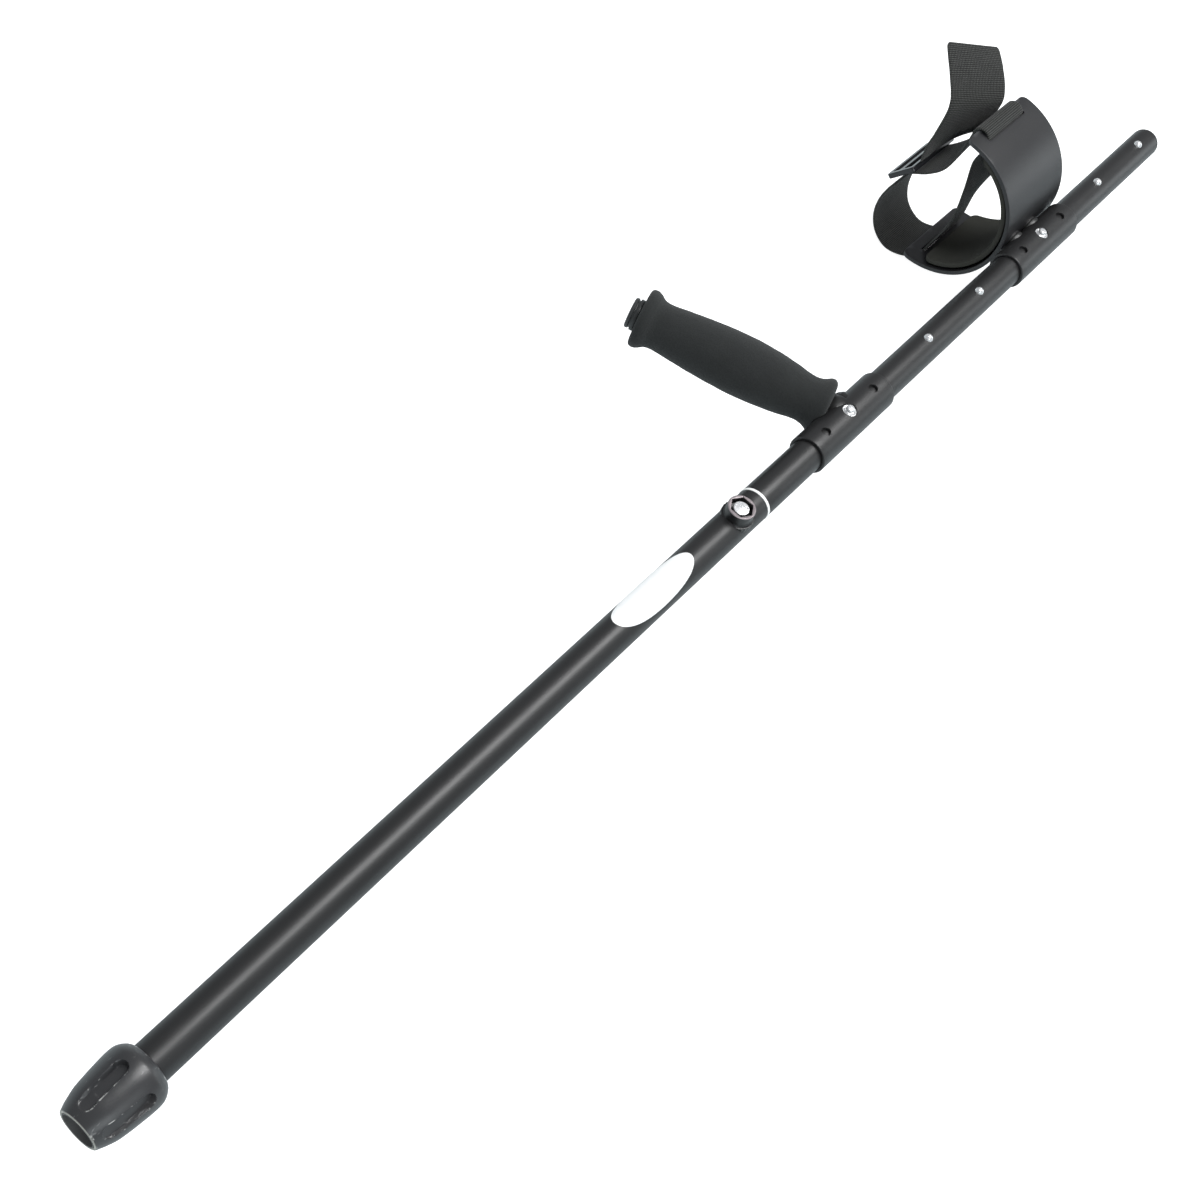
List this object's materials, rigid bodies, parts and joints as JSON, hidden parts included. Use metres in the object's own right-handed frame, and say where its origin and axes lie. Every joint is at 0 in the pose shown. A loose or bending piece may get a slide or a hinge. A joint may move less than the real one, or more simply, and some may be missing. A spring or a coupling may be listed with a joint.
{
  "type": "metal detector shaft",
  "caption": "Two-piece tubular hand-held shaft with a twist-lock socket at one end, a sliding foam grip and a sliding strapped forearm cuff.",
  "frame": {"origin": "centre of the lock nut's mouth, on the shaft's axis", "axes": "+X along the shaft from the nut towards the cuff end, +Y the side the grip and cuff stand on, +Z the side of the snap buttons, which is up when the shaft lies on its side"},
  "size_m": [1.085, 0.1695, 0.175],
  "materials": {
    "tube": "black anodised, satin",
    "sleeve": "black anodised, satin",
    "fitting": "satin black paint",
    "spigot": "clear anodised",
    "nut_plastic": "moulded, semi-gloss, scuffed",
    "collet_plastic": "moulded",
    "clamp_plastic": "natural nylon",
    "sticker": "white vinyl, blank",
    "button_steel": "stainless, polished",
    "spring_steel": "spring steel",
    "white_ring": "white nylon",
    "plug_plastic": "moulded",
    "cap_plastic": "moulded, glossy",
    "post": "black anodised",
    "grip_foam": "closed-cell foam, matt charcoal",
    "cuff_plastic": "satin sheet plastic",
    "pad_foam": "closed-cell foam, dark olive",
    "webbing": "woven nylon webbing",
    "buckle_plastic": "moulded, glossy",
    "screw_steel": "zinc plated"
  },
  "bodies": {
    "lower_section": {"lower_tube": "tube", "collet": "collet_plastic", "label": "sticker", "joint_boss": "fitting"},
    "clamp_carriage": {"clamp_ring": "clamp_plastic"},
    "nut": {"lock_nut": "nut_plastic"},
    "push_button": {"joint_button": "button_steel"},
    "upper_section": {"joint_spigot": "spigot", "joint_ring": "white_ring", "upper_tube": "tube", "end_plug": "plug_plastic", "snap_springs": "spring_steel"},
    "catch": {"joint_catch": "button_steel"},
    "spare_button_1": {"index_button_1": "button_steel"},
    "spare_button_2": {"index_button_2": "button_steel"},
    "spare_button_3": {"index_button_3": "button_steel"},
    "spare_button_4": {"index_button_4": "button_steel"},
    "handle": {"handle_sleeve": "sleeve", "handle_boss": "fitting", "handle_post": "post", "grip_foam": "grip_foam", "grip_cap": "cap_plastic"},
    "handle_snap": {"handle_button": "button_steel"},
    "cuff": {"cuff_sleeve": "sleeve", "cuff_saddles": "fitting", "cuff_screws": "screw_steel", "cuff_shell": "cuff_plastic", "cuff_pad": "pad_foam", "arm_strap": "webbing"},
    "cuff_snap": {"cuff_button": "button_steel"},
    "buckle": {"strap_buckle": "buckle_plastic"},
    "tail": {"strap_tail": "webbing"}
  },
  "joints": [
    {"name": "nut_advance", "type": "slide", "parent": "lower_section", "child": "clamp_carriage", "axis": [-1, 0, 0], "range_m": [0, 0.003]},
    {"name": "nut_turn", "type": "hinge", "parent": "clamp_carriage", "child": "nut", "pos_m": [0, 0, 0], "axis": [-1, 0, 0], "range_deg": [0, 360]},
    {"name": "joint_button_press", "type": "slide", "parent": "lower_section", "child": "push_button", "axis": [0, 0, -1], "range_m": [0, 0.002]},
    {"name": "upper_section_pull", "type": "slide", "parent": "lower_section", "child": "upper_section", "axis": [1, 0, 0], "range_m": [0, 0.08], "deforming": ["joint_catch"]},
    {"name": "joint_catch_press", "type": "slide", "parent": "upper_section", "child": "catch", "axis": [0, 0, -1], "range_m": [0, 0.002], "deforming": ["snap_springs"]},
    {"name": "index_button_1_press", "type": "slide", "parent": "upper_section", "child": "spare_button_1", "axis": [0, 0, -1], "range_m": [0, 0.0026]},
    {"name": "index_button_2_press", "type": "slide", "parent": "upper_section", "child": "spare_button_2", "axis": [0, 0, -1], "range_m": [0, 0.0026]},
    {"name": "index_button_3_press", "type": "slide", "parent": "upper_section", "child": "spare_button_3", "axis": [0, 0, -1], "range_m": [0, 0.0026]},
    {"name": "index_button_4_press", "type": "slide", "parent": "upper_section", "child": "spare_button_4", "axis": [0, 0, -1], "range_m": [0, 0.0026]},
    {"name": "handle_slide", "type": "slide", "parent": "upper_section", "child": "handle", "axis": [1, 0, 0], "range_m": [-0.0283, 0.0283], "deforming": ["handle_button"]},
    {"name": "handle_button_press", "type": "slide", "parent": "upper_section", "child": "handle_snap", "axis": [0, 0, -1], "range_m": [0, 0.0042]},
    {"name": "cuff_slide", "type": "slide", "parent": "upper_section", "child": "cuff", "axis": [1, 0, 0], "range_m": [-0.0283, 0.0283], "deforming": ["cuff_button"]},
    {"name": "cuff_button_press", "type": "slide", "parent": "upper_section", "child": "cuff_snap", "axis": [0, 0, -1], "range_m": [0, 0.0042]},
    {"name": "buckle_tilt", "type": "hinge", "parent": "cuff", "child": "buckle", "pos_m": [0.908, 0.1095, -0.008], "axis": [1, 0, 0], "range_deg": [-15, 5], "deforming": ["arm_strap"]},
    {"name": "tail_lift", "type": "hinge", "parent": "buckle", "child": "tail", "pos_m": [0.908, 0.1039, 0.004], "axis": [1, 0, 0], "range_deg": [-40, 3]}
  ],
  "couplings": [
    {"joint": "nut_advance", "follows": "nut_turn", "m_per_rad": 0.000477},
    {"joint": "joint_catch_press", "follows": "joint_button_press", "ratio": 1}
  ]
}
